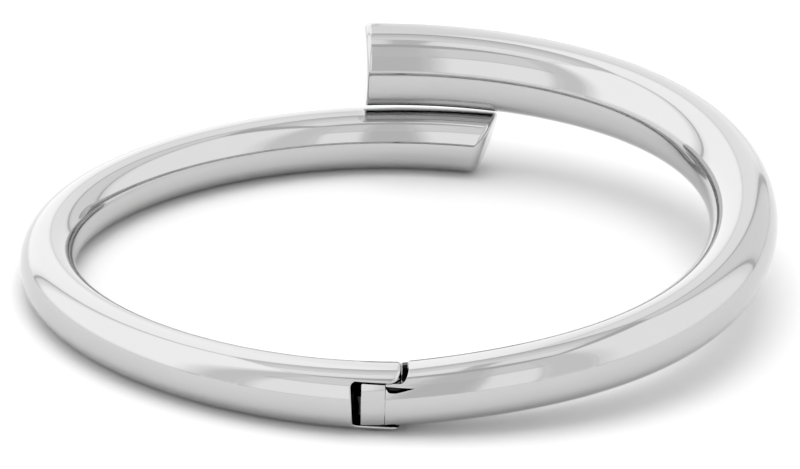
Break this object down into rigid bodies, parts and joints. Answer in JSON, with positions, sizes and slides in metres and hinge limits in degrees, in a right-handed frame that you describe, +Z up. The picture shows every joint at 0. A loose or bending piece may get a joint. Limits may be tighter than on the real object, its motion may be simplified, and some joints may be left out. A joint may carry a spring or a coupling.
{
  "type": "bangle bracelet",
  "caption": "Oval hinged bypass bangle in mirror-polished metal: a rising, thickening half passes over the end of the flat half, and a sprung knuckle hinge opens it.",
  "frame": {"origin": "middle of the footprint, on the surface that the bangle lies on", "axes": "+X along the oval's long side towards the rising half, +Y from the hinge to the overlapping ends, +Z up out of the wrist opening"},
  "size_m": [0.0694, 0.0616, 0.0141],
  "materials": {
    "polished_shell": "mirror-polished silver-white, fine hairline polishing marks",
    "polished_cap": "mirror-polished silver-white",
    "hinge_metal": "polished where it shows, satin inside",
    "pin_steel": "ground hardened steel",
    "spring_wire": "drawn spring wire"
  },
  "bodies": {
    "left_half": {"left_shell": "polished_shell", "left_end_cap": "polished_cap", "hinge_fork": "hinge_metal", "hinge_pin": "pin_steel", "plunger_spring": "spring_wire", "spring_seat": "pin_steel"},
    "right_half": {"right_shell": "polished_shell", "right_end_cap": "polished_cap", "hinge_knuckle": "hinge_metal"},
    "plunger": {"cam_plunger": "pin_steel"}
  },
  "joints": [
    {"name": "knuckle_hinge", "type": "hinge", "parent": "left_half", "child": "right_half", "pos_m": [-0.00233, -0.0285, 0.0031], "axis": [0, 0, -1], "range_deg": [0, 60], "stiffness_Nm_per_rad": 0.0011, "springref_deg": -140.37},
    {"name": "plunger_slide", "type": "slide", "parent": "left_half", "child": "plunger", "axis": [-0.9659, 0.2588, 0], "range_m": [0, 0.00065], "deforming": ["plunger_spring"]}
  ],
  "couplings": [
    {"joint": "plunger_slide", "follows": "knuckle_hinge", "m_per_rad": 0.0006}
  ]
}
